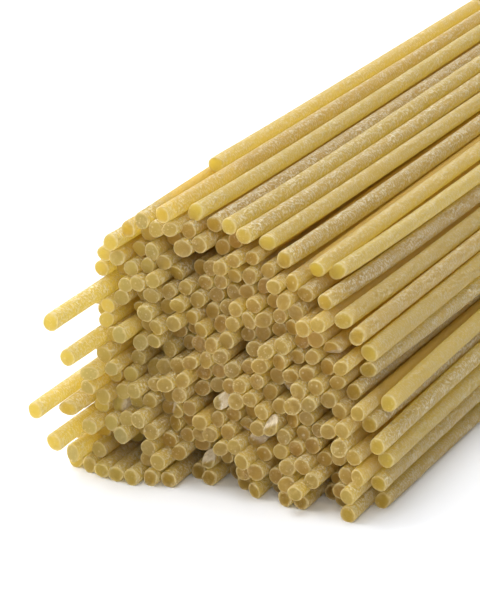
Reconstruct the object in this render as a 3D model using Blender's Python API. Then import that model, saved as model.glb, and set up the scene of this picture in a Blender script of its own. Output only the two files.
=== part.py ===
"""A bundle of dry spaghetti, lying on a table.

Some 280 straight strands of one length lie side by side along +Y. Their cut ends are
uneven, and a few strands have slid out at the left. The strands press on each other all
along, so the bundle is one solid: a honeycomb with one cell around each strand, and each
cell runs from its strand's near end to its far end. Across is X and up is Z. The tables
are in millimetres, and the finished solid is in metres.
"""

import math
import random

import bmesh
import bpy
from mathutils import Vector
from mathutils.geometry import delaunay_2d_cdt

MM = 0.001

STRAND_RADIUS = 1.0
STRAND_LENGTH = 255.0
LENGTH_SPREAD = 0.8
THINNEST = 0.93
THICKEST = 1.03

# The strands on the outside are placed by hand, each as (across, height, set-back), where
# the set-back of its near end is counted from the bundle's face and is negative if it
# sticks out.
CROWN = (
    (-14.4, 30.1, 2.0), (-11.7, 33.1, 20.0), (-9.4, 32.6, 1.4), (-7.0, 32.4, 5.0),
    (-4.8, 31.0, 5.5), (-2.7, 31.2, 5.2), (-0.5, 30.5, 4.6), (1.9, 29.4, 6.2),
    (4.4, 28.0, 5.4), (7.8, 26.9, 7.2), (9.6, 26.0, 9.4), (10.1, 24.0, 4.2),
)
RIGHT_FLANK = (
    (12.4, 22.0, 4.7), (14.1, 20.1, 4.8), (15.5, 18.1, 5.4), (15.2, 15.9, 5.8),
    (14.5, 13.8, 3.2), (18.1, 12.4, 4.9), (16.9, 10.4, 2.5), (18.7, 8.7, 0.8),
    (19.1, 6.4, 2.4), (18.6, 3.9, 1.2),
)
LEFT_FLANK = (
    (-16.0, 28.4, 0.6), (-17.4, 26.5, 1.6), (-18.2, 24.4, 2.2), (-17.6, 22.2, -11.5),
    (-19.2, 20.6, 2.4), (-18.4, 18.6, 3.6), (-17.3, 16.6, -8.0), (-18.2, 14.2, 2.4),
    (-18.9, 12.2, 4.0), (-20.2, 10.4, -11.0), (-18.4, 9.2, -6.0), (-20.0, 7.6, 0.6),
    (-18.9, 5.8, -9.0), (-20.3, 4.0, -0.5),
)
# The lowest row rests on the table, evenly spaced from left to right.
FLOOR_FROM = -19.6
FLOOR_TO = 18.6
FLOOR_SET_BACKS = (
    -2.4, -3.0, -3.9, -4.1, -4.2, -3.4, -2.8, 1.0, -0.2, 3.0,
    0.5, -1.2, 1.5, -1.8, -1.8, 2.5, 1.0, -2.6, 2.8,
)

# The face leans back, is open at a few clefts low down, and is ragged.
FACE_AT_TABLE = -3.0
FACE_LEAN = 0.26
CLEFTS = (-5.2, 0.4, 13.0)
CLEFT_DEPTH = 5.0
CLEFT_HEIGHT = 6.5
CLEFT_HALF_WIDTH = 1.3
LEFT_FROM = -7.0
LEFT_LEAN = 0.3
GROUP_STEP = 0.6
GROUP_WIDTH = 4.2
RAGGED_MIDDLE = 0.7
RAGGED_SIDE = 2.6
RAGGED_FROM = 4.0
RAGGED_FULL = 13.0
SUNK_SHARE = 0.06
SUNK_LEAST = 3.0
SUNK_MOST = 7.0
LEVEL_STEP = 0.05

# The strands inside start on a slanted triangular grid and are pushed apart.
SEED = 11
GRID_PITCH = 2.02
GRID_TURN = math.radians(17)
GRID_WANDER = 0.4
GRID_MIDDLE = 15.0
GRID_REACH = 20
START_CLEARANCE = 1.5
ROUNDS = 700
PUSH = 0.45
FIRST_THINNING = 60
THINNING_STEP = 20
MOST_SQUEEZE = 0.06
HOLE_STEP = 0.5
HOLE_RADIUS = 0.82
FILL_ROUNDS = (240, 340, 440)

# Points outside the bundle that give the outer cells their outer walls.
OUTER_DIRECTIONS = 12
OUTER_CLEARANCE = 1.9
OUTER_SPACING = 0.8
GROOVE_POINT_DEPTH = 0.75
SAME_CORNER = 0.02

PASTA_COLOUR = (0.56, 0.43, 0.19, 1.0)
PASTA_ROUGHNESS = 0.62


def clear_scene():
    for obj in list(bpy.data.objects):
        bpy.data.objects.remove(obj, do_unlink=True)


def fixed_strands():
    """The outside strands as (across, height, set-back), once round the bundle."""
    step = (FLOOR_TO - FLOOR_FROM) / (len(FLOOR_SET_BACKS) - 1)
    floor = [
        (FLOOR_FROM + step * index, STRAND_RADIUS, set_back)
        for index, set_back in enumerate(FLOOR_SET_BACKS)
    ]
    return floor + list(RIGHT_FLANK[::-1]) + list(CROWN[::-1]) + list(LEFT_FLANK)


def is_inside(x, z, ring):
    inside = False
    for (ax, az), (bx, bz) in zip(ring, ring[1:] + ring[:1]):
        if (az > z) != (bz > z) and x < (bx - ax) * (z - az) / (bz - az) + ax:
            inside = not inside
    return inside


def grid_strands(fixed, ring, dice):
    """Loose strands [x, z, radius] on a slanted triangular grid inside the ring."""
    loose = []
    cos_turn = math.cos(GRID_TURN)
    sin_turn = math.sin(GRID_TURN)
    row_height = GRID_PITCH * math.sqrt(3) / 2
    for row in range(-GRID_REACH, GRID_REACH + 1):
        for column in range(-GRID_REACH, GRID_REACH + 1):
            along = (column + 0.5 * (row % 2)) * GRID_PITCH
            up = row * row_height
            x = along * cos_turn - up * sin_turn + dice.uniform(-GRID_WANDER, GRID_WANDER)
            z = along * sin_turn + up * cos_turn + dice.uniform(-GRID_WANDER, GRID_WANDER)
            z += GRID_MIDDLE
            radius = dice.uniform(THINNEST, THICKEST)
            clear = all(math.dist((x, z), place[:2]) > START_CLEARANCE for place in fixed)
            if clear and is_inside(x, z, ring):
                loose.append([x, z, radius])
    return loose


def touching_pairs(strands):
    """Index pairs that press on each other, found with a coarse grid of buckets."""
    size = 2.2 * STRAND_RADIUS
    buckets = {}
    for index, (x, z, _) in enumerate(strands):
        buckets.setdefault((int(x // size), int(z // size)), []).append(index)
    near = [(0, 0), (1, 0), (-1, 1), (0, 1), (1, 1)]
    for (column, row), members in buckets.items():
        for right, up in near:
            for i in members:
                for j in buckets.get((column + right, row + up), ()):
                    if (right, up) == (0, 0) and j <= i:
                        continue
                    x = strands[j][0] - strands[i][0]
                    z = strands[j][1] - strands[i][1]
                    gap = math.sqrt(x * x + z * z)
                    reach = strands[i][2] + strands[j][2]
                    if gap < reach:
                        yield i, j, x / gap, z / gap, reach - gap


def push_apart(loose, fixed):
    """Moves each loose strand off its neighbours, and returns how hard each is squeezed."""
    strands = loose + fixed
    count = len(loose)
    moves = [[0.0, 0.0] for _ in strands]
    squeeze = [0.0] * len(strands)
    for i, j, x, z, overlap in touching_pairs(strands):
        share_i = 0.0 if i >= count else (1.0 if j >= count else 0.5)
        share_j = 0.0 if j >= count else (1.0 if i >= count else 0.5)
        moves[i][0] -= x * overlap * share_i
        moves[i][1] -= z * overlap * share_i
        moves[j][0] += x * overlap * share_j
        moves[j][1] += z * overlap * share_j
        squeeze[i] += overlap
        squeeze[j] += overlap
    for strand, move in zip(loose, moves):
        strand[0] += PUSH * move[0]
        strand[1] += PUSH * move[1]
    return squeeze[:count]


def fill_holes(loose, fixed, ring, dice):
    """Adds a strand at each spot inside the ring where one fits."""
    left, right = min(x for x, _ in ring), max(x for x, _ in ring)
    top = max(z for _, z in ring)
    for row in range(int(top / HOLE_STEP)):
        for column in range(int((right - left) / HOLE_STEP)):
            x = left + column * HOLE_STEP
            z = row * HOLE_STEP
            if not is_inside(x, z, ring):
                continue
            room = min(math.dist((x, z), other[:2]) - other[2] for other in loose + fixed)
            if room > HOLE_RADIUS:
                loose.append([x, z, dice.uniform(THINNEST, STRAND_RADIUS)])


def pack_strands(dice):
    """Every strand as (x, z, radius, set-back or None), packed without overlaps."""
    outside = fixed_strands()
    ring = [place[:2] for place in outside]
    fixed = [[x, z, STRAND_RADIUS] for x, z, _ in outside]
    loose = grid_strands(outside, ring, dice)
    for turn in range(ROUNDS):
        squeeze = push_apart(loose, fixed)
        if turn in FILL_ROUNDS:
            fill_holes(loose, fixed, ring, dice)
        elif turn >= FIRST_THINNING and turn % THINNING_STEP == 0:
            worst = max(range(len(loose)), key=lambda index: squeeze[index])
            if squeeze[worst] > MOST_SQUEEZE:
                del loose[worst]
    packed = [(x, z, radius, None) for x, z, radius in loose]
    return packed + [(x, z, STRAND_RADIUS, set_back) for x, z, set_back in outside]


def face_set_back(x, z):
    """Where the bundle's face lies at a place in the section."""
    set_back = FACE_AT_TABLE + FACE_LEAN * z - LEFT_LEAN * max(LEFT_FROM - x, 0.0)
    if z < CLEFT_HEIGHT:
        depth = CLEFT_DEPTH * math.sqrt(1 - z / CLEFT_HEIGHT)
        for cleft in CLEFTS:
            set_back += depth * math.exp(-(((x - cleft) / CLEFT_HALF_WIDTH) ** 2))
    group = math.sin(math.pi * x / GROUP_WIDTH + 0.5) * math.sin(math.pi * z / GROUP_WIDTH + 1.1)
    return set_back + math.copysign(GROUP_STEP, group)


def raggedness(x, z):
    """How far ends stray from the face: least in the middle, most at the left and the table."""
    side = max(-x - RAGGED_FROM, CLEFT_HEIGHT - z, 0.0) / (RAGGED_FULL - RAGGED_FROM)
    return RAGGED_MIDDLE + (RAGGED_SIDE - RAGGED_MIDDLE) * min(side, 1.0)


def to_level(value):
    """Rounds a strand's end to a step, so that no two ends differ by a hair."""
    return round(value / LEVEL_STEP) * LEVEL_STEP


def strand_ends(packed, dice):
    """(near, far) of each strand."""
    ends = []
    for x, z, _, set_back in packed:
        ragged = dice.uniform(-1.0, 1.0) * raggedness(x, z)
        sunk = dice.random() < SUNK_SHARE
        depth = dice.uniform(SUNK_LEAST, SUNK_MOST)
        length = STRAND_LENGTH + dice.uniform(-LENGTH_SPREAD, LENGTH_SPREAD)
        if set_back is None:
            set_back = face_set_back(x, z) + ragged + (depth if sunk else 0.0)
        ends.append((to_level(set_back), to_level(set_back + length)))
    return ends


def points_below():
    """Points under the lowest row: each strand gets a flat foot, with a groove beside it."""
    step = (FLOOR_TO - FLOOR_FROM) / (len(FLOOR_SET_BACKS) - 1)
    across = [FLOOR_FROM + step * index for index in range(len(FLOOR_SET_BACKS))]
    feet = [(x, -STRAND_RADIUS) for x in across]
    grooves = [(x + step / 2, -GROOVE_POINT_DEPTH) for x in across[:-1]]
    past_ends = [
        (FLOOR_FROM - 2 * STRAND_RADIUS, -STRAND_RADIUS),
        (FLOOR_TO + 2 * STRAND_RADIUS, -STRAND_RADIUS),
    ]
    return feet + grooves + past_ends


def outer_points(packed):
    """Points all round the bundle, one strand's width off its outside strands."""
    centres = [(x, z) for x, z, _, _ in packed]
    ring = [place[:2] for place in fixed_strands()]
    points = points_below()
    for x, z in ring:
        for step in range(OUTER_DIRECTIONS):
            angle = 2 * math.pi * step / OUTER_DIRECTIONS
            spot = (
                x + 2 * STRAND_RADIUS * math.cos(angle),
                z + 2 * STRAND_RADIUS * math.sin(angle),
            )
            if spot[1] < STRAND_RADIUS or is_inside(*spot, ring):
                continue
            if min(math.dist(spot, centre) for centre in centres) < OUTER_CLEARANCE:
                continue
            if min(math.dist(spot, point) for point in points) > OUTER_SPACING:
                points.append(spot)
    return points


def circumcentre(a, b, c):
    bx, bz = b[0] - a[0], b[1] - a[1]
    cx, cz = c[0] - a[0], c[1] - a[1]
    twice = 2 * (bx * cz - bz * cx)
    b_square = bx * bx + bz * bz
    c_square = cx * cx + cz * cz
    return (
        a[0] + (cz * b_square - bz * c_square) / twice,
        a[1] + (bx * c_square - cx * b_square) / twice,
    )


def honeycomb(packed):
    """The corners of the cells, the cells round each corner, and the walls.

    A wall is (corner, corner, cell, cell or None where the outside begins). The cells are
    those of the Voronoi diagram, taken from its dual, the Delaunay triangles.
    """
    centres = [(x, z) for x, z, _, _ in packed]
    sites = centres + outer_points(packed)
    triangles = delaunay_2d_cdt([Vector(site) for site in sites], [], [], 0, 1e-6)[2]
    corners = []
    cells_at = []
    sides = {}
    for triangle in triangles:
        if min(triangle) >= len(centres):
            continue
        middle = circumcentre(*(sites[index] for index in triangle))
        same = [k for k, known in enumerate(corners) if math.dist(known, middle) < SAME_CORNER]
        if not same:
            same = [len(corners)]
            corners.append(middle)
            cells_at.append(set())
        corner = same[0]
        cells_at[corner] |= {index for index in triangle if index < len(centres)}
        for a, b in zip(triangle, triangle[1:] + triangle[:1]):
            sides.setdefault((min(a, b), max(a, b)), []).append(corner)
    walls = []
    for (a, b), ends in sides.items():
        if a < len(centres) and len(ends) == 2 and ends[0] != ends[1]:
            walls.append((ends[0], ends[1], a, b if b < len(centres) else None))
    return corners, cells_at, walls


class Honeycomb:
    """Builds the stepped honeycomb, which no modelling tool makes, cell by cell."""

    def __init__(self, packed, ends):
        self.corners, self.cells_at, self.walls = honeycomb(packed)
        self.ends = ends
        self.mesh = bmesh.new()
        self.points = {}

    def point(self, corner, level):
        key = (corner, round(level / LEVEL_STEP))
        if key not in self.points:
            x, z = self.corners[corner]
            self.points[key] = self.mesh.verts.new((x * MM, level * MM, z * MM))
        return self.points[key]

    def levels(self, corner, start, stop):
        """The levels of a wall's edge: its ends, and those where a third cell ends."""
        found = {start, stop}
        for cell in self.cells_at[corner]:
            found |= {level for level in self.ends[cell] if start < level < stop}
        return sorted(found)

    def strip(self, first, second, start, stop):
        """The faces of a wall, from one corner's edge to the other's."""
        lower = [self.point(first, level) for level in self.levels(first, start, stop)]
        upper = [self.point(second, level) for level in self.levels(second, start, stop)]
        i = j = 0
        while i < len(lower) - 1 or j < len(upper) - 1:
            last_up = j == len(upper) - 1
            if last_up or (i < len(lower) - 1 and lower[i + 1].co.y <= upper[j + 1].co.y):
                self.mesh.faces.new((lower[i], lower[i + 1], upper[j]))
                i += 1
            else:
                self.mesh.faces.new((lower[i], upper[j + 1], upper[j]))
                j += 1

    def add_walls(self):
        for first, second, cell, other in self.walls:
            if other is None:
                self.strip(first, second, *self.ends[cell])
                continue
            for side in (0, 1):
                start, stop = sorted((self.ends[cell][side], self.ends[other][side]))
                if start < stop:
                    self.strip(first, second, start, stop)

    def add_caps(self, packed):
        for cell, (x, z, _, _) in enumerate(packed):
            outline = {
                corner
                for first, second, a, b in self.walls
                if cell in (a, b)
                for corner in (first, second)
            }
            turned = sorted(
                outline,
                key=lambda k: math.atan2(self.corners[k][1] - z, self.corners[k][0] - x),
            )
            for level in self.ends[cell]:
                self.mesh.faces.new([self.point(corner, level) for corner in turned])


def pasta_material():
    material = bpy.data.materials.new("dry_pasta")
    material.use_nodes = True
    shader = material.node_tree.nodes["Principled BSDF"]
    shader.inputs["Base Color"].default_value = PASTA_COLOUR
    shader.inputs["Roughness"].default_value = PASTA_ROUGHNESS
    shader.inputs["Metallic"].default_value = 0.0
    material.diffuse_color = PASTA_COLOUR
    return material


def stand_on_origin(mesh):
    """Puts the middle of the bundle's underside at the origin."""
    lows = [min(vert.co[axis] for vert in mesh.verts) for axis in range(3)]
    highs = [max(vert.co[axis] for vert in mesh.verts) for axis in range(3)]
    middle = Vector(((lows[0] + highs[0]) / 2, (lows[1] + highs[1]) / 2, lows[2]))
    bmesh.ops.translate(mesh, verts=mesh.verts, vec=-middle)
    return [high - low for low, high in zip(lows, highs)]


def build_bundle():
    dice = random.Random(SEED)
    packed = pack_strands(dice)
    comb = Honeycomb(packed, strand_ends(packed, dice))
    comb.add_walls()
    comb.add_caps(packed)
    bmesh.ops.recalc_face_normals(comb.mesh, faces=comb.mesh.faces)
    size = stand_on_origin(comb.mesh)
    volume = comb.mesh.calc_volume()
    mesh = bpy.data.meshes.new("spaghetti_bundle")
    comb.mesh.to_mesh(mesh)
    comb.mesh.free()
    mesh.materials.append(pasta_material())
    collection = bpy.data.collections.new("dry_spaghetti_bundle")
    bpy.context.scene.collection.children.link(collection)
    collection.objects.link(bpy.data.objects.new("spaghetti_bundle", mesh))
    pasta = sum(
        math.pi * (radius * MM) ** 2 * (far - near) * MM
        for (_, _, radius, _), (near, far) in zip(packed, comb.ends)
    )
    print("strands", len(packed), "solid cm3", round(volume * 1e6, 1))
    print("pasta cm3", round(pasta * 1e6, 1), "size mm", [round(side / MM, 1) for side in size])


clear_scene()
build_bundle()
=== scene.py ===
# %% [markdown]
# # A bundle of dry spaghetti
#
# The bundle lies on a table with its snapped ends towards us. The real thing is some 280
# straight strands, each about 2 mm thick and 255 mm long, pressed out of a bronze die that
# leaves the skin rough and pale, and then snapped or cut to length.
#
# The frame is one solid with the outline of the whole bundle. Here it gives way to single
# strands at true size. It says where the bundle lies, and nothing in it moves.

# %% Load the frame
import math
import random

import bmesh
import bpy
import numpy as np
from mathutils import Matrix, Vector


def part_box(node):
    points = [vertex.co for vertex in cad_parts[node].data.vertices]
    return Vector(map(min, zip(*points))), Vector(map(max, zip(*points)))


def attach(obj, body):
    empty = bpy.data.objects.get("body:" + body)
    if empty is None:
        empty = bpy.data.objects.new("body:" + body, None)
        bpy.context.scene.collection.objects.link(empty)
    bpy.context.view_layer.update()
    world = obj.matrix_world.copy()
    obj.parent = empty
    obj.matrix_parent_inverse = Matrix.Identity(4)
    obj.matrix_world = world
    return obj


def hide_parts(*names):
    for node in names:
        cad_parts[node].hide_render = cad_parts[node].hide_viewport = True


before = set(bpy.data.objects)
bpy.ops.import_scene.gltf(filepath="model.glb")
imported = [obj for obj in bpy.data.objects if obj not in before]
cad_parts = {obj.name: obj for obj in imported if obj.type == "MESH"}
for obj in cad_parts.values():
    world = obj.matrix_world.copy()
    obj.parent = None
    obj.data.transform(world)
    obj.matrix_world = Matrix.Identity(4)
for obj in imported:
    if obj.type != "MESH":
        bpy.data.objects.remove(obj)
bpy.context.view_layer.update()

MM = 0.001
BUNDLE = "spaghetti_bundle"

# %% [markdown]
# ## Where the strands lie
#
# On a real bundle the outermost strands can be seen one by one, and the ones inside only
# show their ends. So the outside strands are listed, and the rest are packed the way
# strands pack in a fist: start on a loose grid, push apart what overlaps, take out what is
# squeezed hardest, and fill the holes. A physics engine could do this too, but thin rods
# lying side by side only need their cross-section, which is a page of plain Python.
#
# The rule and its numbers are those of the frame, so every strand lands in its own cell of
# the frame's solid. All sizes in this step are in millimetres.

# %% The outside strands, as (across, height, set-back of the near end)
STRAND_RADIUS = 1.0
STRAND_LENGTH = 255.0
LENGTH_SPREAD = 0.8
THINNEST = 0.93
THICKEST = 1.03

CROWN = (
    (-14.4, 30.1, 2.0), (-11.7, 33.1, 20.0), (-9.4, 32.6, 1.4), (-7.0, 32.4, 5.0),
    (-4.8, 31.0, 5.5), (-2.7, 31.2, 5.2), (-0.5, 30.5, 4.6), (1.9, 29.4, 6.2),
    (4.4, 28.0, 5.4), (7.8, 26.9, 7.2), (9.6, 26.0, 9.4), (10.1, 24.0, 4.2),
)
RIGHT_FLANK = (
    (12.4, 22.0, 4.7), (14.1, 20.1, 4.8), (15.5, 18.1, 5.4), (15.2, 15.9, 5.8),
    (14.5, 13.8, 3.2), (18.1, 12.4, 4.9), (16.9, 10.4, 2.5), (18.7, 8.7, 0.8),
    (19.1, 6.4, 2.4), (18.6, 3.9, 1.2),
)
LEFT_FLANK = (
    (-16.0, 28.4, 0.6), (-17.4, 26.5, 1.6), (-18.2, 24.4, 2.2), (-17.6, 22.2, -11.5),
    (-19.2, 20.6, 2.4), (-18.4, 18.6, 3.6), (-17.3, 16.6, -8.0), (-18.2, 14.2, 2.4),
    (-18.9, 12.2, 4.0), (-20.2, 10.4, -11.0), (-18.4, 9.2, -6.0), (-20.0, 7.6, 0.6),
    (-18.9, 5.8, -9.0), (-20.3, 4.0, -0.5),
)
FLOOR_FROM = -19.6
FLOOR_TO = 18.6
FLOOR_SET_BACKS = (
    -2.4, -3.0, -3.9, -4.1, -4.2, -3.4, -2.8, 1.0, -0.2, 3.0,
    0.5, -1.2, 1.5, -1.8, -1.8, 2.5, 1.0, -2.6, 2.8,
)


def fixed_strands():
    """The outside strands as (across, height, set-back), once round the bundle."""
    step = (FLOOR_TO - FLOOR_FROM) / (len(FLOOR_SET_BACKS) - 1)
    floor = [
        (FLOOR_FROM + step * index, STRAND_RADIUS, set_back)
        for index, set_back in enumerate(FLOOR_SET_BACKS)
    ]
    return floor + list(RIGHT_FLANK[::-1]) + list(CROWN[::-1]) + list(LEFT_FLANK)


outside = fixed_strands()
print("outside strands", len(outside))

# %% Pack the inside strands
SEED = 11
GRID_PITCH = 2.02
GRID_TURN = math.radians(17)
GRID_WANDER = 0.4
GRID_MIDDLE = 15.0
GRID_REACH = 20
START_CLEARANCE = 1.5
ROUNDS = 700
PUSH = 0.45
FIRST_THINNING = 60
THINNING_STEP = 20
MOST_SQUEEZE = 0.06
HOLE_STEP = 0.5
HOLE_RADIUS = 0.82
FILL_ROUNDS = (240, 340, 440)


def is_inside(x, z, ring):
    inside = False
    for (ax, az), (bx, bz) in zip(ring, ring[1:] + ring[:1]):
        if (az > z) != (bz > z) and x < (bx - ax) * (z - az) / (bz - az) + ax:
            inside = not inside
    return inside


def grid_strands(fixed, ring, dice):
    """Loose strands [x, z, radius] on a slanted triangular grid inside the ring."""
    loose = []
    cos_turn = math.cos(GRID_TURN)
    sin_turn = math.sin(GRID_TURN)
    row_height = GRID_PITCH * math.sqrt(3) / 2
    for row in range(-GRID_REACH, GRID_REACH + 1):
        for column in range(-GRID_REACH, GRID_REACH + 1):
            along = (column + 0.5 * (row % 2)) * GRID_PITCH
            up = row * row_height
            x = along * cos_turn - up * sin_turn + dice.uniform(-GRID_WANDER, GRID_WANDER)
            z = along * sin_turn + up * cos_turn + dice.uniform(-GRID_WANDER, GRID_WANDER)
            z += GRID_MIDDLE
            radius = dice.uniform(THINNEST, THICKEST)
            clear = all(math.dist((x, z), place[:2]) > START_CLEARANCE for place in fixed)
            if clear and is_inside(x, z, ring):
                loose.append([x, z, radius])
    return loose


def touching_pairs(strands):
    """Index pairs that press on each other, found with a coarse grid of buckets."""
    size = 2.2 * STRAND_RADIUS
    buckets = {}
    for index, (x, z, _) in enumerate(strands):
        buckets.setdefault((int(x // size), int(z // size)), []).append(index)
    near = [(0, 0), (1, 0), (-1, 1), (0, 1), (1, 1)]
    for (column, row), members in buckets.items():
        for right, up in near:
            for i in members:
                for j in buckets.get((column + right, row + up), ()):
                    if (right, up) == (0, 0) and j <= i:
                        continue
                    x = strands[j][0] - strands[i][0]
                    z = strands[j][1] - strands[i][1]
                    gap = math.sqrt(x * x + z * z)
                    reach = strands[i][2] + strands[j][2]
                    if gap < reach:
                        yield i, j, x / gap, z / gap, reach - gap


def push_apart(loose, fixed):
    """Moves each loose strand off its neighbours, and returns how hard each is squeezed."""
    strands = loose + fixed
    count = len(loose)
    moves = [[0.0, 0.0] for _ in strands]
    squeeze = [0.0] * len(strands)
    for i, j, x, z, overlap in touching_pairs(strands):
        share_i = 0.0 if i >= count else (1.0 if j >= count else 0.5)
        share_j = 0.0 if j >= count else (1.0 if i >= count else 0.5)
        moves[i][0] -= x * overlap * share_i
        moves[i][1] -= z * overlap * share_i
        moves[j][0] += x * overlap * share_j
        moves[j][1] += z * overlap * share_j
        squeeze[i] += overlap
        squeeze[j] += overlap
    for strand, move in zip(loose, moves):
        strand[0] += PUSH * move[0]
        strand[1] += PUSH * move[1]
    return squeeze[:count]


def fill_holes(loose, fixed, ring, dice):
    """Adds a strand at each spot inside the ring where one fits."""
    left, right = min(x for x, _ in ring), max(x for x, _ in ring)
    top = max(z for _, z in ring)
    for row in range(int(top / HOLE_STEP)):
        for column in range(int((right - left) / HOLE_STEP)):
            x = left + column * HOLE_STEP
            z = row * HOLE_STEP
            if not is_inside(x, z, ring):
                continue
            room = min(math.dist((x, z), other[:2]) - other[2] for other in loose + fixed)
            if room > HOLE_RADIUS:
                loose.append([x, z, dice.uniform(THINNEST, STRAND_RADIUS)])


def pack_strands(dice):
    """Every strand as (x, z, radius, set-back or None), packed without overlaps."""
    ring = [place[:2] for place in outside]
    fixed = [[x, z, STRAND_RADIUS] for x, z, _ in outside]
    loose = grid_strands(outside, ring, dice)
    for turn in range(ROUNDS):
        squeeze = push_apart(loose, fixed)
        if turn in FILL_ROUNDS:
            fill_holes(loose, fixed, ring, dice)
        elif turn >= FIRST_THINNING and turn % THINNING_STEP == 0:
            worst = max(range(len(loose)), key=lambda index: squeeze[index])
            if squeeze[worst] > MOST_SQUEEZE:
                del loose[worst]
    packed = [(x, z, radius, None) for x, z, radius in loose]
    return packed + [(x, z, STRAND_RADIUS, set_back) for x, z, set_back in outside]


dice = random.Random(SEED)
packed = pack_strands(dice)
print("strands", len(packed), "of them inside", len(packed) - len(outside))

# %% The two ends of each strand
FACE_AT_TABLE = -3.0
FACE_LEAN = 0.26
CLEFTS = (-5.2, 0.4, 13.0)
CLEFT_DEPTH = 5.0
CLEFT_HEIGHT = 6.5
CLEFT_HALF_WIDTH = 1.3
LEFT_FROM = -7.0
LEFT_LEAN = 0.3
GROUP_STEP = 0.6
GROUP_WIDTH = 4.2
RAGGED_MIDDLE = 0.7
RAGGED_SIDE = 2.6
RAGGED_FROM = 4.0
RAGGED_FULL = 13.0
SUNK_SHARE = 0.06
SUNK_LEAST = 3.0
SUNK_MOST = 7.0


def face_set_back(x, z):
    """Where the bundle's face lies at a place in the section."""
    set_back = FACE_AT_TABLE + FACE_LEAN * z - LEFT_LEAN * max(LEFT_FROM - x, 0.0)
    if z < CLEFT_HEIGHT:
        depth = CLEFT_DEPTH * math.sqrt(1 - z / CLEFT_HEIGHT)
        for cleft in CLEFTS:
            set_back += depth * math.exp(-(((x - cleft) / CLEFT_HALF_WIDTH) ** 2))
    group = math.sin(math.pi * x / GROUP_WIDTH + 0.5) * math.sin(math.pi * z / GROUP_WIDTH + 1.1)
    return set_back + math.copysign(GROUP_STEP, group)


def raggedness(x, z):
    """How far ends stray from the face: least in the middle, most at the left and the table."""
    side = max(-x - RAGGED_FROM, CLEFT_HEIGHT - z, 0.0) / (RAGGED_FULL - RAGGED_FROM)
    return RAGGED_MIDDLE + (RAGGED_SIDE - RAGGED_MIDDLE) * min(side, 1.0)


def strand_ends(dice):
    """(near, far) of each strand."""
    ends = []
    for x, z, _, set_back in packed:
        ragged = dice.uniform(-1.0, 1.0) * raggedness(x, z)
        sunk = dice.random() < SUNK_SHARE
        depth = dice.uniform(SUNK_LEAST, SUNK_MOST)
        length = STRAND_LENGTH + dice.uniform(-LENGTH_SPREAD, LENGTH_SPREAD)
        if set_back is None:
            set_back = face_set_back(x, z) + ragged + (depth if sunk else 0.0)
        ends.append((set_back, set_back + length))
    return ends


ends = strand_ends(dice)
box_low, box_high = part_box(BUNDLE)
shift_x = (box_low.x + box_high.x) / 2 / MM - (
    min(x - radius for x, _, radius, _ in packed) + max(x + radius for x, _, radius, _ in packed)
) / 2
shift_y = (box_low.y + box_high.y) / 2 / MM - (
    min(near for near, _ in ends) + max(far for _, far in ends)
) / 2
print("moved onto the frame by", round(shift_x, 3), round(shift_y, 3), "mm")

# %% [markdown]
# ## Which strands are whole
#
# Only the two outer layers can be seen along their sides. Those strands are made whole. The
# ones inside show nothing but their ends, so each is made as two pegs, one at each end, and
# a core takes their place in between. The strands are shared out into pieces by place, so
# that each piece keeps enough surface detail when it is handed on.

# %% Sort the strands into pieces
WHOLE_DEPTH = 4.2
PEG_LENGTH = 30.0
# The places once round the bundle, each with the number of outside strands in it.
PLACES = (
    ("floor_left", 9), ("floor_right", 10), ("right_flank_low", 5), ("right_flank_high", 5),
    ("crown_right", 6), ("crown_left", 6), ("left_flank_high", 7), ("left_flank_low", 7),
)
place_of = [name for name, count in PLACES for _ in range(count)]


first_outside = len(packed) - len(outside)


def heart_name(x, z):
    return "heart_" + ("high" if z > GRID_MIDDLE + 1.0 else "low") + ("_left" if x < 0 else "_right")


def sort_strands():
    """Piece name to a list of (strand number, from, to), in millimetres along the bundle."""
    pieces = {}
    for number, (x, z, _, _) in enumerate(packed):
        near, far = ends[number]
        if number >= first_outside:
            pieces.setdefault(place_of[number - first_outside], []).append((number, near, far))
            continue
        gaps = [math.dist((x, z), place[:2]) for place in outside]
        if min(gaps) < WHOLE_DEPTH:
            name = place_of[gaps.index(min(gaps))]
            pieces.setdefault(name, []).append((number, near, far))
        else:
            pegs = pieces.setdefault(heart_name(x, z), [])
            pegs.append((number, near, near + PEG_LENGTH))
            pegs.append((number, far - PEG_LENGTH, far))
    return pieces


pieces = sort_strands()
print({name: len(members) for name, members in pieces.items()})

# %% [markdown]
# ## What each strand looks like
#
# Strands of one bag differ. Some are lemon yellow and smooth, others are tan and covered in
# the pale scratches of the die. On the outside those differences are what one sees, so they
# are listed there; inside they are drawn by lot. A few ends have broken instead of snapping:
# they slope, and are white and crumbly.

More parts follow.
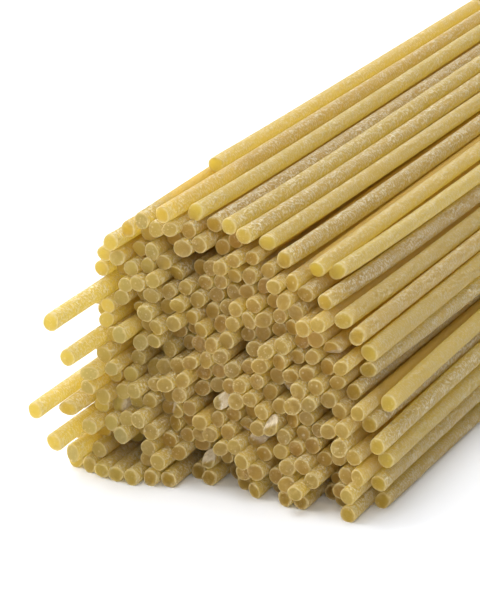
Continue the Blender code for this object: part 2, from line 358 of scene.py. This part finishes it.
# %% How each strand looks and lies
# (tone, grain, girth, drift across, drift up): tone is 0 lemon to 1 tan, grain 0 smooth to
# 1 rough, girth multiplies the radius, and the drifts are in millimetres.
CROWN_LOOKS = (
    (0.9, 0.7, 1.0, 0.4, -0.25), (0.25, 0.4, 1.03, 0.4, -0.4), (0.8, 0.6, 1.0, 0.4, -0.25),
    (0.1, 0.5, 1.1, 0.55, -0.5), (1.0, 1.0, 0.97, 0.4, -0.4), (0.3, 0.75, 1.0, 0.6, -0.55),
    (0.6, 0.8, 1.0, 0.7, -0.6), (0.3, 0.4, 1.05, 0.5, -0.45), (0.85, 0.95, 1.06, 0.5, -0.45),
    (0.2, 0.35, 1.03, 0.0, 0.0), (0.05, 0.4, 1.05, 0.7, -0.65), (0.85, 0.8, 1.03, 0.8, -0.85),
)
RIGHT_FLANK_LOOKS = (
    (0.35, 0.3, 1.08, 0.2, -0.4), (0.75, 0.5, 1.06, 0.0, -0.1), (0.35, 0.35, 1.06, 0.1, -0.1),
    (0.5, 0.85, 1.06, 1.2, 0.0), (0.9, 0.8, 1.0, 0.1, -0.2), (0.3, 0.25, 1.05, -0.7, 0.1),
    (0.6, 1.0, 1.03, 0.1, -0.1), (0.55, 0.9, 1.03, 0.0, 0.7), (0.25, 0.4, 1.03, -0.2, 0.2),
    (0.55, 0.85, 1.03, 0.0, 0.0),
)
TONES_INSIDE = (0.78, 0.98)
GRAINS_INSIDE = (0.3, 1.0)
ROUGH_FROM = 1.2
# The strands at the left are more lemon, from here on and by this much.
LEMON_FROM = 7.0
LEMON_FULL = 14.0
LEMON_LEFT = 0.55
THINNEST_LOOK = 0.97
THICKEST_LOOK = 1.05
# Places, as (across, height), whose nearest strand has a broken near end.
BROKEN_PLACES = (
    (7.4, 13.2), (-5.8, 9.0), (1.2, 8.3), (6.0, 9.2), (12.2, 18.6), (-10.4, 4.4),
    (-2.2, 4.0), (-14.0, 9.6), (-1.0, 10.5), (3.5, 6.5),
)
LOOKS_SEED = 5
NEIGHBOUR_REACH = 2.7
FULL_RECESS = 3.0


def more_lemon(x):
    return LEMON_LEFT * min(max(-x - LEMON_FROM, 0.0) / (LEMON_FULL - LEMON_FROM), 1.0)


def strand_looks():
    """(tone, grain, girth, drift across, drift up) of each strand."""
    lot = random.Random(LOOKS_SEED)
    looks = []
    for x, z, _, _ in packed:
        tone = max(lot.uniform(*TONES_INSIDE) - more_lemon(x), 0.0)
        grain = lot.uniform(*GRAINS_INSIDE)
        if raggedness(x, z) > ROUGH_FROM:
            grain = min(grain + 0.4, 1.0)
        looks.append((tone, grain, lot.uniform(THINNEST_LOOK, THICKEST_LOOK), 0.0, 0.0))
    for places, known in ((RIGHT_FLANK, RIGHT_FLANK_LOOKS), (CROWN, CROWN_LOOKS)):
        for place, look in zip(places, known):
            looks[first_outside + outside.index(place)] = look
    return looks


def nearest_strand(place):
    return min(range(len(packed)), key=lambda number: math.dist(packed[number][:2], place))


def set_back_from_neighbours(number):
    """How far a near end lies behind the ends round it, in millimetres."""
    place = packed[number][:2]
    others = [
        ends[other][0] for other in range(len(packed))
        if other != number and math.dist(packed[other][:2], place) < NEIGHBOUR_REACH
    ]
    return ends[number][0] - sum(others) / max(len(others), 1)


looks = strand_looks()
broken = {nearest_strand(place) for place in BROKEN_PLACES}
print("broken ends", len(broken))

# %% Let the inside strands follow the outside ones as they drift
SETTLE_ROUNDS = 150


def settled_places():
    """Where each strand has drifted to behind the face, as [across, height]."""
    fixed = [
        [x + look[3], z + look[4], radius]
        for (x, z, radius, _), look in zip(packed[first_outside:], looks[first_outside:])
    ]
    loose = [[x, z, radius] for x, z, radius, _ in packed[:first_outside]]
    for _ in range(SETTLE_ROUNDS):
        push_apart(loose, fixed)
    return loose + fixed


settled = settled_places()
print("furthest drift", round(max(math.dist(a[:2], b[:2]) for a, b in zip(packed, settled)), 2))

# %% [markdown]
# ## A way to write node trees
#
# Node trees are long to write by hand. This small helper keeps them readable: `node` adds a
# node, sets it up and plugs in its sockets, and a wire can be used in sums, which adds the
# Math nodes for it. It serves Geometry Nodes and shaders alike.

# %% A helper for node trees
class Wire:
    """One output socket. Sums with it add Math nodes."""

    def __init__(self, net, socket):
        self.net = net
        self.socket = socket

    def maths(self, operation, *others, first=None):
        values = [self if first is None else first, *others]
        return self.net.node("ShaderNodeMath", {"operation": operation}, dict(enumerate(values)))

    def __add__(self, other):
        return self.maths("ADD", other)

    def __radd__(self, other):
        return self.maths("ADD", other)

    def __sub__(self, other):
        return self.maths("SUBTRACT", other)

    def __rsub__(self, other):
        return self.maths("SUBTRACT", self, first=other)

    def __mul__(self, other):
        return self.maths("MULTIPLY", other)

    def __rmul__(self, other):
        return self.maths("MULTIPLY", other)

    def __truediv__(self, other):
        return self.maths("DIVIDE", other)

    def __pow__(self, other):
        return self.maths("POWER", other)

    def smaller(self, other):
        return self.maths("MINIMUM", other)

    def larger(self, other):
        return self.maths("MAXIMUM", other)

    def ramp(self, low, high):
        """0 below low, 1 above high, and a soft step in between."""
        settings = {"interpolation_type": "SMOOTHSTEP"}
        sockets = {"Value": self, "From Min": low, "From Max": high}
        return self.net.node("ShaderNodeMapRange", settings, sockets)


class Net:
    """A node tree that is being written."""

    def __init__(self, tree):
        self.tree = tree

    def node(self, kind, settings=None, sockets=None, out=0):
        made = self.tree.nodes.new(kind)
        for name, value in (settings or {}).items():
            setattr(made, name, value)
        known = {socket.identifier: socket for socket in made.inputs}
        for key, value in (sockets or {}).items():
            socket = made.inputs[key] if isinstance(key, int) else known[key]
            if isinstance(value, Wire):
                self.tree.links.new(value.socket, socket)
            else:
                socket.default_value = value
        return Wire(self, made.outputs[out])

    def vector(self, operation, *values):
        """Vector Math; its scale is the fourth socket."""
        sockets = dict(enumerate(values))
        if operation == "SCALE":
            sockets = {0: values[0], 3: values[1]}
        return self.node("ShaderNodeVectorMath", {"operation": operation}, sockets)

    def mix(self, factor, first, second):
        """A blend of two colours."""
        sockets = {"Factor_Float": factor, "A_Color": first, "B_Color": second}
        return self.node("ShaderNodeMix", {"data_type": "RGBA"}, sockets, out=2)

    def xyz(self, x, y, z):
        return self.node("ShaderNodeCombineXYZ", {}, {0: x, 1: y, 2: z})

    def parts(self, wire):
        """The three numbers of a vector."""
        split = self.node("ShaderNodeSeparateXYZ", {}, {0: wire}).socket.node
        return [Wire(self, output) for output in split.outputs]


# %% [markdown]
# ## One tree that makes strands
#
# A strand is a tube swept along a straight line, closed by its two snapped ends. Copying a
# modelled strand would give 280 equal ends, and modelling each would take a week. So
# Geometry Nodes take one plain blank, put a copy on each point, and then shape every copy
# from the numbers that its point carries: its two ends, its radius and how it broke.
#
# The blank is a tube of equal rings. The first few rings at each end fold in to make the
# cut face with its small lip. How far each ring lies from the axis and behind the end is
# read from two short lists, the profile of an end.

# %% The profile of a snapped end, ring by ring from its middle
END_SHARES = (0.0, 0.36, 0.62, 0.78, 0.87, 0.94, 0.985, 1.0, 1.0, 1.0, 1.0)
END_DEPTHS = (0.0, 0.0, 0.0, 0.0, 0.0, 0.02, 0.07, 0.14, 0.26, 0.8, 2.5)
# The cut face, and the pale rim round it.
END_CUT = (1.0, 1.0, 1.0, 1.0, 1.0, 0.7, 0.2, 0.0, 0.0, 0.0, 0.0)
END_RIM = (0.0, 0.0, 0.0, 0.3, 0.8, 1.0, 1.0, 0.8, 0.3, 0.0, 0.0)
LAST_RING = len(END_SHARES) - 1
print("rings at an end", len(END_SHARES))


# %% The tree
def choose(net, index, values):
    """The value at an index of a short list."""
    switch = net.tree.nodes.new("GeometryNodeIndexSwitch")
    switch.data_type = "FLOAT"
    while len(switch.index_switch_items) < len(values):
        switch.index_switch_items.new()
    net.tree.links.new(index.socket, switch.inputs[0])
    for item, value in enumerate(values):
        switch.inputs[item + 1].default_value = value
    return Wire(net, switch.outputs[0])


def attribute(net, name, kind="FLOAT"):
    return net.node("GeometryNodeInputNamedAttribute", {"data_type": kind}, {"Name": name})


def store(net, geometry, name, value, kind="FLOAT"):
    sockets = {"Geometry": geometry, "Name": name, "Value": value}
    return net.node("GeometryNodeStoreNamedAttribute", {"data_type": kind}, sockets)


def blank(net, sides, rings):
    """A tube of rings of radius 1 along +Y, each point with its ring and its place in it."""
    line = net.node(
        "GeometryNodeCurvePrimitiveLine", {}, {"Start": (0, 0, 0), "End": (0, 1, 0)}
    )
    rail = net.node("GeometryNodeResampleCurve", {"mode": "COUNT"}, {"Curve": line, "Count": rings})
    circle = net.node(
        "GeometryNodeCurvePrimitiveCircle", {"mode": "RADIUS"}, {"Resolution": sides, "Radius": 1.0}
    )
    tube = net.node(
        "GeometryNodeCurveToMesh", {}, {"Curve": rail, "Profile Curve": circle}
    )
    index = net.node("GeometryNodeInputIndex")
    ring = (index / sides).maths("FLOOR")
    tube = store(net, tube, "ring", ring)
    tube = store(net, tube, "turn", index - ring * sides)
    flat = net.vector("MULTIPLY", net.node("GeometryNodeInputPosition"), (1, 0, 1))
    return store(net, tube, "ray", flat, "FLOAT_VECTOR")


def lot(net, seed, number, low, high):
    """A number drawn for each strand."""
    sockets = {"Min_001": low, "Max_001": high, "ID": attribute(net, "strand", "INT")}
    sockets["Seed"] = seed + number
    return net.node("FunctionNodeRandomValue", {"data_type": "FLOAT"}, sockets, out=1)


def heading(net, seed, number):
    """A direction across the strand, drawn for each strand."""
    angle = lot(net, seed, number, 0.0, math.tau)
    return net.xyz(angle.maths("COSINE"), 0.0, angle.maths("SINE"))


def dot(net, first, second):
    product = net.vector("DOT_PRODUCT", first, second)
    return Wire(net, product.socket.node.outputs["Value"])


def noise(net, place, scale, detail=2.0, roughness=0.5, distortion=0.0, out="Fac"):
    sockets = {"Vector": place, "Scale": scale, "Detail": detail, "Roughness": roughness}
    sockets["Distortion"] = distortion
    return net.node("ShaderNodeTexNoise", {}, sockets, out=out)


# One of these sizes sets how far behind an end the painted shade on inside strands starts.
STRAND_INPUTS = (
    ("Sides", "Int", 16), ("Side Rings", "Int", 24), ("Slope", "Float", 0.5),
    ("Dish", "Float", 0.06 * MM), ("Jag", "Float", 0.09 * MM), ("Oval", "Float", 0.2),
    ("Bow", "Float", 0.3 * MM), ("Settling", "Float", 25.0 * MM), ("Painted Shade From", "Float", 4.0 * MM),
    ("Break Slope", "Float", 1.5), ("Seed", "Int", 3),
    ("Material", "Material", None),
)


def strand_tree():
    tree = bpy.data.node_groups.new("snapped_strands", "GeometryNodeTree")
    face = tree.interface
    face.new_socket("Geometry", in_out="INPUT", socket_type="NodeSocketGeometry")
    for name, kind, value in STRAND_INPUTS:
        socket = face.new_socket(name, in_out="INPUT", socket_type="NodeSocket" + kind)
        if value is not None:
            socket.default_value = value
    face.new_socket("Geometry", in_out="OUTPUT", socket_type="NodeSocketGeometry")
    net = Net(tree)
    given = {output.name: Wire(net, output) for output in tree.nodes.new("NodeGroupInput").outputs}
    seed = given["Seed"]

    rings = given["Side Rings"] + 2 * len(END_SHARES)
    points = store(
        net, given["Geometry"], "seat", net.node("GeometryNodeInputPosition"), "FLOAT_VECTOR"
    )
    tubes = net.node(
        "GeometryNodeInstanceOnPoints", {},
        {"Points": points, "Instance": blank(net, given["Sides"], rings)},
    )
    mesh = net.node("GeometryNodeRealizeInstances", {}, {"Geometry": tubes})

    # Which ring of which end a point is on.
    ring = attribute(net, "ring")
    from_far = rings - 1 - ring
    at_far = ring.maths("GREATER_THAN", from_far)
    step = ring.smaller(from_far).smaller(LAST_RING)
    hidden = attribute(net, "hide_near") * (1 - at_far) + attribute(net, "hide_far") * at_far
    share = choose(net, step, END_SHARES) * (1 - hidden * step.maths("LESS_THAN", LAST_RING))
    depth = choose(net, step, [value * MM for value in END_DEPTHS])
    depth = depth * (1 - hidden * step.maths("LESS_THAN", LAST_RING))
    end_depth = END_DEPTHS[-1] * MM
    hold = 1 - (depth / end_depth).larger(0.0)

    # The cut leans a little, is dished or domed, and is rough. A broken end slopes away.
    ray = net.vector("SCALE", attribute(net, "ray", "FLOAT_VECTOR"), share)
    radius = attribute(net, "radius")
    slope = (lot(net, seed, 1, 0.0, 1.0) ** 3) * given["Slope"]
    lean = dot(net, ray, heading(net, seed, 2 + 20)) * slope * radius
    dish = lot(net, seed, 3, -0.6, 1.0) * given["Dish"] * (1 - share * share)
    seat = attribute(net, "seat", "FLOAT_VECTOR")
    on_end = net.vector("ADD", seat, net.vector("SCALE", ray, radius))
    rough = noise(net, on_end, 1.1 / MM, 2.0) - 0.5
    broken_here = attribute(net, "broken") * (1 - at_far)
    sloping = dot(net, ray, heading(net, seed, 4)) - lot(net, seed, 5, -0.5, 0.2)
    gone = sloping.larger(0.0) * broken_here
    break_back = gone * radius * given["Break Slope"]
    crumbs = (noise(net, on_end, 2.0 / MM, 2.0) - 0.5) * broken_here * 1.0 * MM
    pushed = lean + dish + rough * given["Jag"] + break_back + crumbs
    toward = 1 - 2 * at_far
    back = depth + hold * pushed * (1 - hidden)

    # Along the strand. The rings crowd a little towards the ends.
    along = ((ring - LAST_RING) / (rings - 1 - 2 * LAST_RING)).larger(0.0).smaller(1.0)
    along = 0.5 * along + 0.5 * along.ramp(0.0, 1.0)
    near = attribute(net, "near")
    far = attribute(net, "far")
    y = near + along * (far - near - 2 * end_depth) + at_far * 2 * end_depth + toward * back

    # Across the strand: not quite round, not quite straight.
    oval = dot(net, ray, heading(net, seed, 6))
    around = 1 + given["Oval"] * (oval * oval - 0.5) * lot(net, seed, 7, 0.0, 1.0)
    dent = noise(net, net.vector("ADD", seat, net.vector("SCALE", ray, 0.8 * MM)), 0.7 / MM, 1.0)
    around = around + (dent - 0.5) * 0.4 * hold
    drift = net.xyz(attribute(net, "strand", "INT") * 7.31, y * 9.0, 0.0)
    drift = net.vector("SUBTRACT", noise(net, drift, 1.0, 0.0, out="Color"), (0.5, 0.5, 0.5))
    drift = net.vector("SCALE", drift, given["Bow"] * 2 * attribute(net, "loose"))
    drift = net.vector("MULTIPLY", drift, (1, 0, 1))
    settle = 1 - (0 - (y - attribute(net, "start")) / given["Settling"]).larger(-20.0).maths("EXPONENT")
    drift = net.vector(
        "ADD", drift, net.vector("SCALE", attribute(net, "settled", "FLOAT_VECTOR"), settle.larger(0.0))
    )
    place = net.vector("ADD", net.vector("ADD", seat, drift), net.vector("SCALE", ray, radius * around))
    place = net.vector("ADD", place, net.xyz(0.0, y, 0.0))
    mesh = net.node("GeometryNodeSetPosition", {}, {"Geometry": mesh, "Position": place})

    # What the finish needs to know.
    mesh = store(net, mesh, "cut", choose(net, step, END_CUT))
    mesh = store(net, mesh, "rim", choose(net, step, END_RIM))
    # Painted shade: inside strands get deep golden sides from a little behind each end.
    behind = ((y - near) / given["Painted Shade From"]).smaller((far - y) / given["Painted Shade From"])
    mesh = store(net, mesh, "painted_gap_shade", attribute(net, "inside") * behind.ramp(0.3, 1.5))
    mesh = store(net, mesh, "crumbly", gone.ramp(0.0, 0.25) * hold.ramp(0.6, 0.9))
    mesh = net.node("GeometryNodeMergeByDistance", {}, {"Geometry": mesh, "Distance": 0.0005 * MM})
    mesh = net.node("GeometryNodeSetShadeSmooth", {}, {"Geometry": mesh})
    mesh = net.node("GeometryNodeSetMaterial", {}, {"Geometry": mesh, "Material": given["Material"]})
    out = tree.nodes.new("NodeGroupOutput")
    tree.links.new(mesh.socket, out.inputs[0])
    return tree


strands_tree = strand_tree()
print("nodes in the tree", len(strands_tree.nodes))

# %% [markdown]
# ## Dry pasta
#
# Dry pasta is a dense, slightly see-through yellow body with a dull skin. The die drags the
# skin into fine pale wrinkles that run round the strand, so light from above makes it look
# almost white there, while the smooth body glows golden where strands light each other. The
# cut face has no skin: it is deeper in colour and ringed by the skin's pale edge.
#
# One material does all of it, so that a strand stays one piece: numbers that the tree stored
# on the mesh say where the cut face, the rim and the crumbly breaks are, and where golden
# shade is painted deep between the strands. How far each end lies behind its neighbours
# paints set-back ends lighter and jutting ones darker.

# %% The pasta's finish
LEMON = (0.69, 0.58, 0.18, 1.0)
TAN = (0.61, 0.41, 0.13, 1.0)
PALE = (0.98, 0.90, 0.65, 1.0)
# Painted shade: the deep gold of inside strands' sides in the gaps between strands.
PAINTED_GAP_SHADE = (0.93, 0.63, 0.09, 1.0)
CUT_TAN = (0.34, 0.17, 0.02, 1.0)
CUT_LEMON = (0.66, 0.57, 0.14, 1.0)
RIM = (0.78, 0.65, 0.35, 1.0)
GLOW = (0.93, 0.797, 0.27, 1.0)
SEE_THROUGH = 0.7
SEE_THROUGH_SKIN = 0.3
CRUMB = (0.84, 0.73, 0.54, 1.0)
SPECK = (0.13, 0.06, 0.02, 1.0)


def spots_of(net, place, scale):
    """Distance to the nearest of many scattered points."""
    sockets = {"Vector": place, "Scale": scale}
    return net.node("ShaderNodeTexVoronoi", {"feature": "F1"}, sockets, out=0)


def pasta_material():
    material = bpy.data.materials.new("dry_pasta")
    material.use_nodes = True
    net = Net(material.node_tree)
    shader = material.node_tree.nodes["Principled BSDF"]

    def own(name):
        sockets = {"attribute_name": name}
        return net.node("ShaderNodeAttribute", sockets, {}, out="Fac")

    place = net.node("ShaderNodeTexCoord", {}, {}, out="Object")
    place = net.vector("SCALE", place, 1 / MM)
    tone, grain, cut, rim, crumbly, painted_gap_shade, inside, recess = (
        own(name)
        for name in ("tone", "grain", "cut", "rim", "crumbly", "painted_gap_shade", "inside", "recess")
    )
    rim = rim ** (0.6 + 1.2 * inside)

    # Wrinkles: short pale strokes, from a noise that is squeezed along the strand so that its
    # spots run round it.
    warp = net.vector("SCALE", noise(net, place, 0.9, 1.0, out="Color"), 0.6)
    squeezed = net.vector("ADD", net.vector("MULTIPLY", place, (1.0, 1.6, 1.0)), warp)
    wrinkle = noise(net, squeezed, 3.1, 1.0, 0.5).ramp(0.45, 0.60)
    patch = noise(net, place, 0.35, 1.0, 0.6).ramp(0.35, 0.62)
    wrinkle = wrinkle * (0.75 + 0.25 * patch)
    fine = noise(net, squeezed, 6.5, 1.0, 0.6)
    skin = 1 - cut

    # Colour.
    side = net.mix(tone, LEMON, TAN)
    side = net.mix((noise(net, place, 0.12, 1.0) - 0.35) * 0.5, side, TAN)
    pale = wrinkle * (0.42 + 0.60 * grain) + (fine - 0.5) * 0.9 * (0.3 + 0.7 * grain) + 0.03
    # Painted shade: away from their ends, inside strands lose their pale wrinkles and turn the deep gold of the
    # shaded gaps between strands.
    pale = (pale.larger(0.0) * (1 - 0.8 * painted_gap_shade)).smaller(1.0)
    side = net.mix(pale, net.mix(painted_gap_shade * 0.8, side, PAINTED_GAP_SHADE), PALE)
    face = net.mix(tone, CUT_LEMON, CUT_TAN)
    # Painted light: ends of inside strands set back from their neighbours are painted lighter and warmer, and
    # ends that jut out are painted darker.
    painted_end_light = recess * inside
    face = net.vector(
        "MULTIPLY", face, net.xyz(1 + 0.5 * painted_end_light, 1 + 0.42 * painted_end_light, 1 - 0.1 * painted_end_light)
    )
    face = net.mix(noise(net, place, 1.5, 3.0, 0.65).ramp(0.48, 0.72) * 0.4, face, RIM)
    bubbles = 1 - spots_of(net, place, 1.0).ramp(0.1, 0.18)
    many = (1 - spots_of(net, place, 2.6).ramp(0.15, 0.3)) * noise(net, place, 0.35, 0.0).ramp(0.5, 0.6)
    face = net.mix(bubbles.larger(many) * 0.5, face, PALE)
    colour = net.mix(cut, side, face)
    colour = net.mix(rim * (0.3 + 0.7 * noise(net, place, 1.5, 1.0).ramp(0.3, 0.7)), colour, RIM)
    colour = net.mix(crumbly * (0.6 + 0.4 * fine), colour, CRUMB)
    colour = net.mix(1 - spots_of(net, place, 0.3).ramp(0.015, 0.03), colour, SPECK)
    net.tree.links.new(colour.socket, shader.inputs["Base Color"])

    # Relief.
    relief = wrinkle * (0.15 + 0.85 * grain) * skin + fine * 0.4 * (0.4 + 0.6 * grain)
    relief = relief + noise(net, place, 3.0, 2.0, 0.6) * (cut * 0.5 + crumbly * 1.6)
    bump = net.node(
        "ShaderNodeBump", {}, {"Height": relief, "Distance": 0.1 * MM, "Strength": 1.0}
    )
    net.tree.links.new(bump.socket, shader.inputs["Normal"])
    rough = 0.45 + 0.2 * wrinkle
    net.tree.links.new(rough.socket, shader.inputs["Roughness"])
    shader.inputs["Specular IOR Level"].default_value = 0.7
    glow = net.node("ShaderNodeBsdfTranslucent", {}, {"Color": GLOW, "Normal": bump})
    opaque = (pale * skin).larger(rim * 0.7).larger(crumbly * 1.5).larger(painted_gap_shade * 0.45).larger(cut * inside * 0.45)
    share = SEE_THROUGH + (SEE_THROUGH_SKIN - SEE_THROUGH) * opaque
    both = net.node("ShaderNodeMixShader", {}, {0: share, 1: Wire(net, shader.outputs[0]), 2: glow})
    net.tree.links.new(both.socket, material.node_tree.nodes["Material Output"].inputs["Surface"])
    return material


pasta = pasta_material()
print("nodes in the finish", len(pasta.node_tree.nodes))

# %% [markdown]
# ## Make the strands
#
# Each piece starts as a handful of loose points, one for each strand, that carry the numbers
# the tree reads. The result is turned into a plain mesh at once.

# %% Points in, strands out
PEG_RINGS = 3
WHOLE_RINGS = 24
FLOOR_LOOSE = 0.25


def points_object(name, members):
    """Loose points with each strand's numbers."""
    mesh = bpy.data.meshes.new(name)
    mesh.from_pydata(
        [((packed[number][0] + shift_x) * MM, 0.0, packed[number][1] * MM) for number, _, _ in members],
        [], [],
    )
    on_floor = [packed[number][1] < 1.5 * STRAND_RADIUS for number, _, _ in members]
    pegs = [far - near < STRAND_LENGTH / 2 for _, near, far in members]
    at_near = [near == ends[number][0] for number, near, _ in members]
    columns = {
        "start": [(ends[number][0] + shift_y) * MM for number, _, _ in members],
        "hide_near": [float(peg and not front) for peg, front in zip(pegs, at_near)],
        "hide_far": [float(peg and front) for peg, front in zip(pegs, at_near)],
        "near": [(near + shift_y) * MM for _, near, _ in members],
        "far": [(far + shift_y) * MM for _, _, far in members],
        "radius": [packed[number][2] * looks[number][2] * MM for number, _, _ in members],
        "tone": [looks[number][0] for number, _, _ in members],
        "grain": [looks[number][1] for number, _, _ in members],
        "broken": [1.0 if number in broken else 0.0 for number, _, _ in members],
        # How far each end lies behind its neighbours; the finish paints set-back ends lighter by it.
        "recess": [
            min(max(set_back_from_neighbours(number) / FULL_RECESS, -1.0), 1.0)
            for number, _, _ in members
        ],
        "inside": [1.0 if number < first_outside else 0.0 for number, _, _ in members],
        "loose": [FLOOR_LOOSE if low else 1.0 for low in on_floor],
    }
    for column, values in columns.items():
        mesh.attributes.new(column, "FLOAT", "POINT").data.foreach_set("value", values)
    drifts = []
    for number, _, _ in members:
        drifts += [(settled[number][0] - packed[number][0]) * MM, 0.0]
        drifts.append((settled[number][1] - packed[number][1]) * MM)
    mesh.attributes.new("settled", "FLOAT_VECTOR", "POINT").data.foreach_set("vector", drifts)
    numbers = [number for number, _, _ in members]
    mesh.attributes.new("strand", "INT", "POINT").data.foreach_set("value", numbers)
    made = bpy.data.objects.new(name, mesh)
    bpy.context.scene.collection.objects.link(made)
    return made


def set_input(modifier, name, value):
    """A modifier's input is named by its socket's identifier."""
    for item in modifier.node_group.interface.items_tree:
        if item.item_type == "SOCKET" and item.in_out == "INPUT" and item.name == name:
            modifier[item.identifier] = value


def grow(name, members):
    """The strands of one piece, as a plain mesh object."""
    source = points_object(name + "_points", members)
    modifier = source.modifiers.new("strands", "NODES")
    modifier.node_group = strands_tree
    pegs = name.startswith("heart")
    set_input(modifier, "Side Rings", PEG_RINGS if pegs else WHOLE_RINGS)
    set_input(modifier, "Material", pasta)
    mesh = bpy.data.meshes.new_from_object(
        source.evaluated_get(bpy.context.evaluated_depsgraph_get())
    )
    bpy.data.objects.remove(source, do_unlink=True)
    mesh.name = name
    made = bpy.data.objects.new(name, mesh)
    bpy.context.scene.collection.objects.link(made)
    return made


strand_pieces = [grow(name + "_strands", members) for name, members in pieces.items()]
for piece in strand_pieces:
    piece.data.calc_loop_triangles()
    print(piece.name, len(piece.data.loop_triangles), "triangles")

# %% [markdown]
# ## The core
#
# Between the pegs lies the core, where no light comes. It is a smaller copy of the bundle's
# outline, fluted as if by strands, and painted the dark gold of the shaded gaps between them.

# %% The core
CORE_SHARE = 0.7
CORE_START = 15.0
CORE_RINGS = 12
core_points = 6 * len(outside)


def core_outline():
    """The bundle's outline drawn in towards its middle, with a flute for each strand."""
    corners = [(x, z) for x, z, _ in outside]
    middle_x = sum(x for x, _ in corners) / len(corners)
    middle_z = sum(z for _, z in corners) / len(corners)
    outline = []
    for step in range(core_points):
        whole, part = divmod(step, 6)
        ax, az = corners[whole]
        bx, bz = corners[(whole + 1) % len(corners)]
        x = ax + (bx - ax) * part / 6
        z = az + (bz - az) * part / 6
        share = CORE_SHARE + 0.02 * math.cos(math.tau * part / 6)
        outline.append((middle_x + (x - middle_x) * share, middle_z + (z - middle_z) * share))
    return outline


def build_core():
    mesh = bmesh.new()
    outline = core_outline()
    start = max(near for near, _ in ends[:first_outside]) + CORE_START
    stop = min(far for _, far in ends[:first_outside]) - CORE_START
    rings = []
    for step in range(CORE_RINGS + 1):
        y = start + (stop - start) * step / CORE_RINGS
        rings.append(
            [mesh.verts.new(((x + shift_x) * MM, (y + shift_y) * MM, z * MM)) for x, z in outline]
        )
    for first, second in zip(rings, rings[1:]):
        for index in range(len(outline)):
            after = (index + 1) % len(outline)
            mesh.faces.new((first[index], first[after], second[after], second[index]))
    mesh.faces.new(rings[0])
    mesh.faces.new(rings[-1][::-1])
    bmesh.ops.triangulate(mesh, faces=[face for face in mesh.faces if len(face.verts) > 4])
    bmesh.ops.recalc_face_normals(mesh, faces=mesh.faces)
    data = bpy.data.meshes.new("bundle_core")
    mesh.to_mesh(data)
    mesh.free()
    made = bpy.data.objects.new("bundle_core", data)
    bpy.context.scene.collection.objects.link(made)
    return made


def painted_shade_material():
    material = bpy.data.materials.new("core_painted_shade")
    material.use_nodes = True
    net = Net(material.node_tree)
    shader = material.node_tree.nodes["Principled BSDF"]
    place = net.node("ShaderNodeTexCoord", {}, {}, out="Object")
    place = net.vector("MULTIPLY", place, (1 / MM, 0.5 / MM, 1 / MM))
    mottle = noise(net, place, 0.8, 3.0, 0.6)
    # Painted shade: the core's colour is the dark gold of the shaded gaps between strands.
    colour = net.mix(mottle, (0.50, 0.29, 0.03, 1.0), (0.70, 0.45, 0.07, 1.0))
    net.tree.links.new(colour.socket, shader.inputs["Base Color"])
    shader.inputs["Roughness"].default_value = 0.9
    return material


core = build_core()
core.data.materials.append(painted_shade_material())
print("core", len(core.data.polygons), "faces")

# %% [markdown]
# ## Floor, light and camera
#
# The bundle lies on a plain white table in soft light from above and a little behind, which
# leaves the face of snapped ends in the bundle's own shade.

# %% Floor
FLOOR_HALF = 3.0


def plain_material(name, colour, roughness):
    material = bpy.data.materials.new(name)
    material.use_nodes = True
    shader = material.node_tree.nodes["Principled BSDF"]
    shader.inputs["Base Color"].default_value = colour
    shader.inputs["Roughness"].default_value = roughness
    shader.inputs["Specular IOR Level"].default_value = 0.2
    return material


floor_mesh = bpy.data.meshes.new("table_top")
floor_mesh.from_pydata(
    [(x * FLOOR_HALF, y * FLOOR_HALF, 0.0) for x, y in ((-1, -1), (1, -1), (1, 1), (-1, 1))],
    [], [(0, 1, 2, 3)],
)
floor = bpy.data.objects.new("table_top", floor_mesh)
bpy.context.scene.collection.objects.link(floor)
floor_mesh.materials.append(plain_material("white_table", (0.90, 0.92, 0.96, 1.0), 0.7))
print("table", 2 * FLOOR_HALF, "m wide")

# %% Light
SKY = 0.44
# Each light: name, place and aim in metres, width, watts, colour.
LIGHTS = (
    ("key", (-0.7, 0.9, 1.2), (0.0, 0.0, 0.0), 1.2, 21.5, (1.0, 1.0, 1.0)),
    ("top", (-0.1, -0.3, 1.6), (0.0, 0.0, 0.0), 1.0, 11.0, (1.0, 1.0, 1.0)),
    ("left", (-1.3, -0.3, 0.7), (0.0, 0.0, 0.0), 1.0, 17.5, (1.0, 1.0, 1.0)),
    ("front", (0.4, -1.1, 0.55), (0.0, 0.0, 0.0), 0.8, 4.0, (1.0, 1.0, 1.0)),
)


def aim(obj, target):
    direction = obj.location - type(obj.location)(target)
    obj.rotation_euler = direction.to_track_quat("Z", "Y").to_euler()


def add_lights():
    world = bpy.data.worlds.new("white_room")
    world.use_nodes = True
    world.node_tree.nodes["Background"].inputs["Color"].default_value = (1.0, 1.0, 1.0, 1.0)
    world.node_tree.nodes["Background"].inputs["Strength"].default_value = SKY
    bpy.context.scene.world = world
    for name, place, target, width, watts, colour in LIGHTS:
        data = bpy.data.lights.new(name, "AREA")
        data.size = width
        data.energy = watts
        data.color = colour
        lamp = bpy.data.objects.new(name, data)
        lamp.location = place
        bpy.context.scene.collection.objects.link(lamp)
        aim(lamp, target)


add_lights()
bpy.context.scene.view_settings.view_transform = "Standard"
print("lights", len(LIGHTS))

# %% Camera
CAMERA_PLACE = (149.6 * MM, -435.7 * MM, 150.6 * MM)
CAMERA_AZIMUTH = math.radians(25.93)
CAMERA_PITCH = math.radians(20.59)
SENSOR = 36.0
LENS = 183.25

camera_data = bpy.data.cameras.new("camera")
camera_data.sensor_width = SENSOR
camera_data.lens = LENS
camera_data.clip_start = 0.01
camera_data.clip_end = 20.0
camera = bpy.data.objects.new("camera", camera_data)
camera.location = CAMERA_PLACE
camera.rotation_euler = (math.pi / 2 - CAMERA_PITCH, 0.0, CAMERA_AZIMUTH)
bpy.context.scene.collection.objects.link(camera)
bpy.context.scene.camera = camera
print("camera", [round(value, 3) for value in camera.location])

# %% Hand over
for piece in strand_pieces + [core]:
    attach(piece, "root")
    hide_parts(BUNDLE)
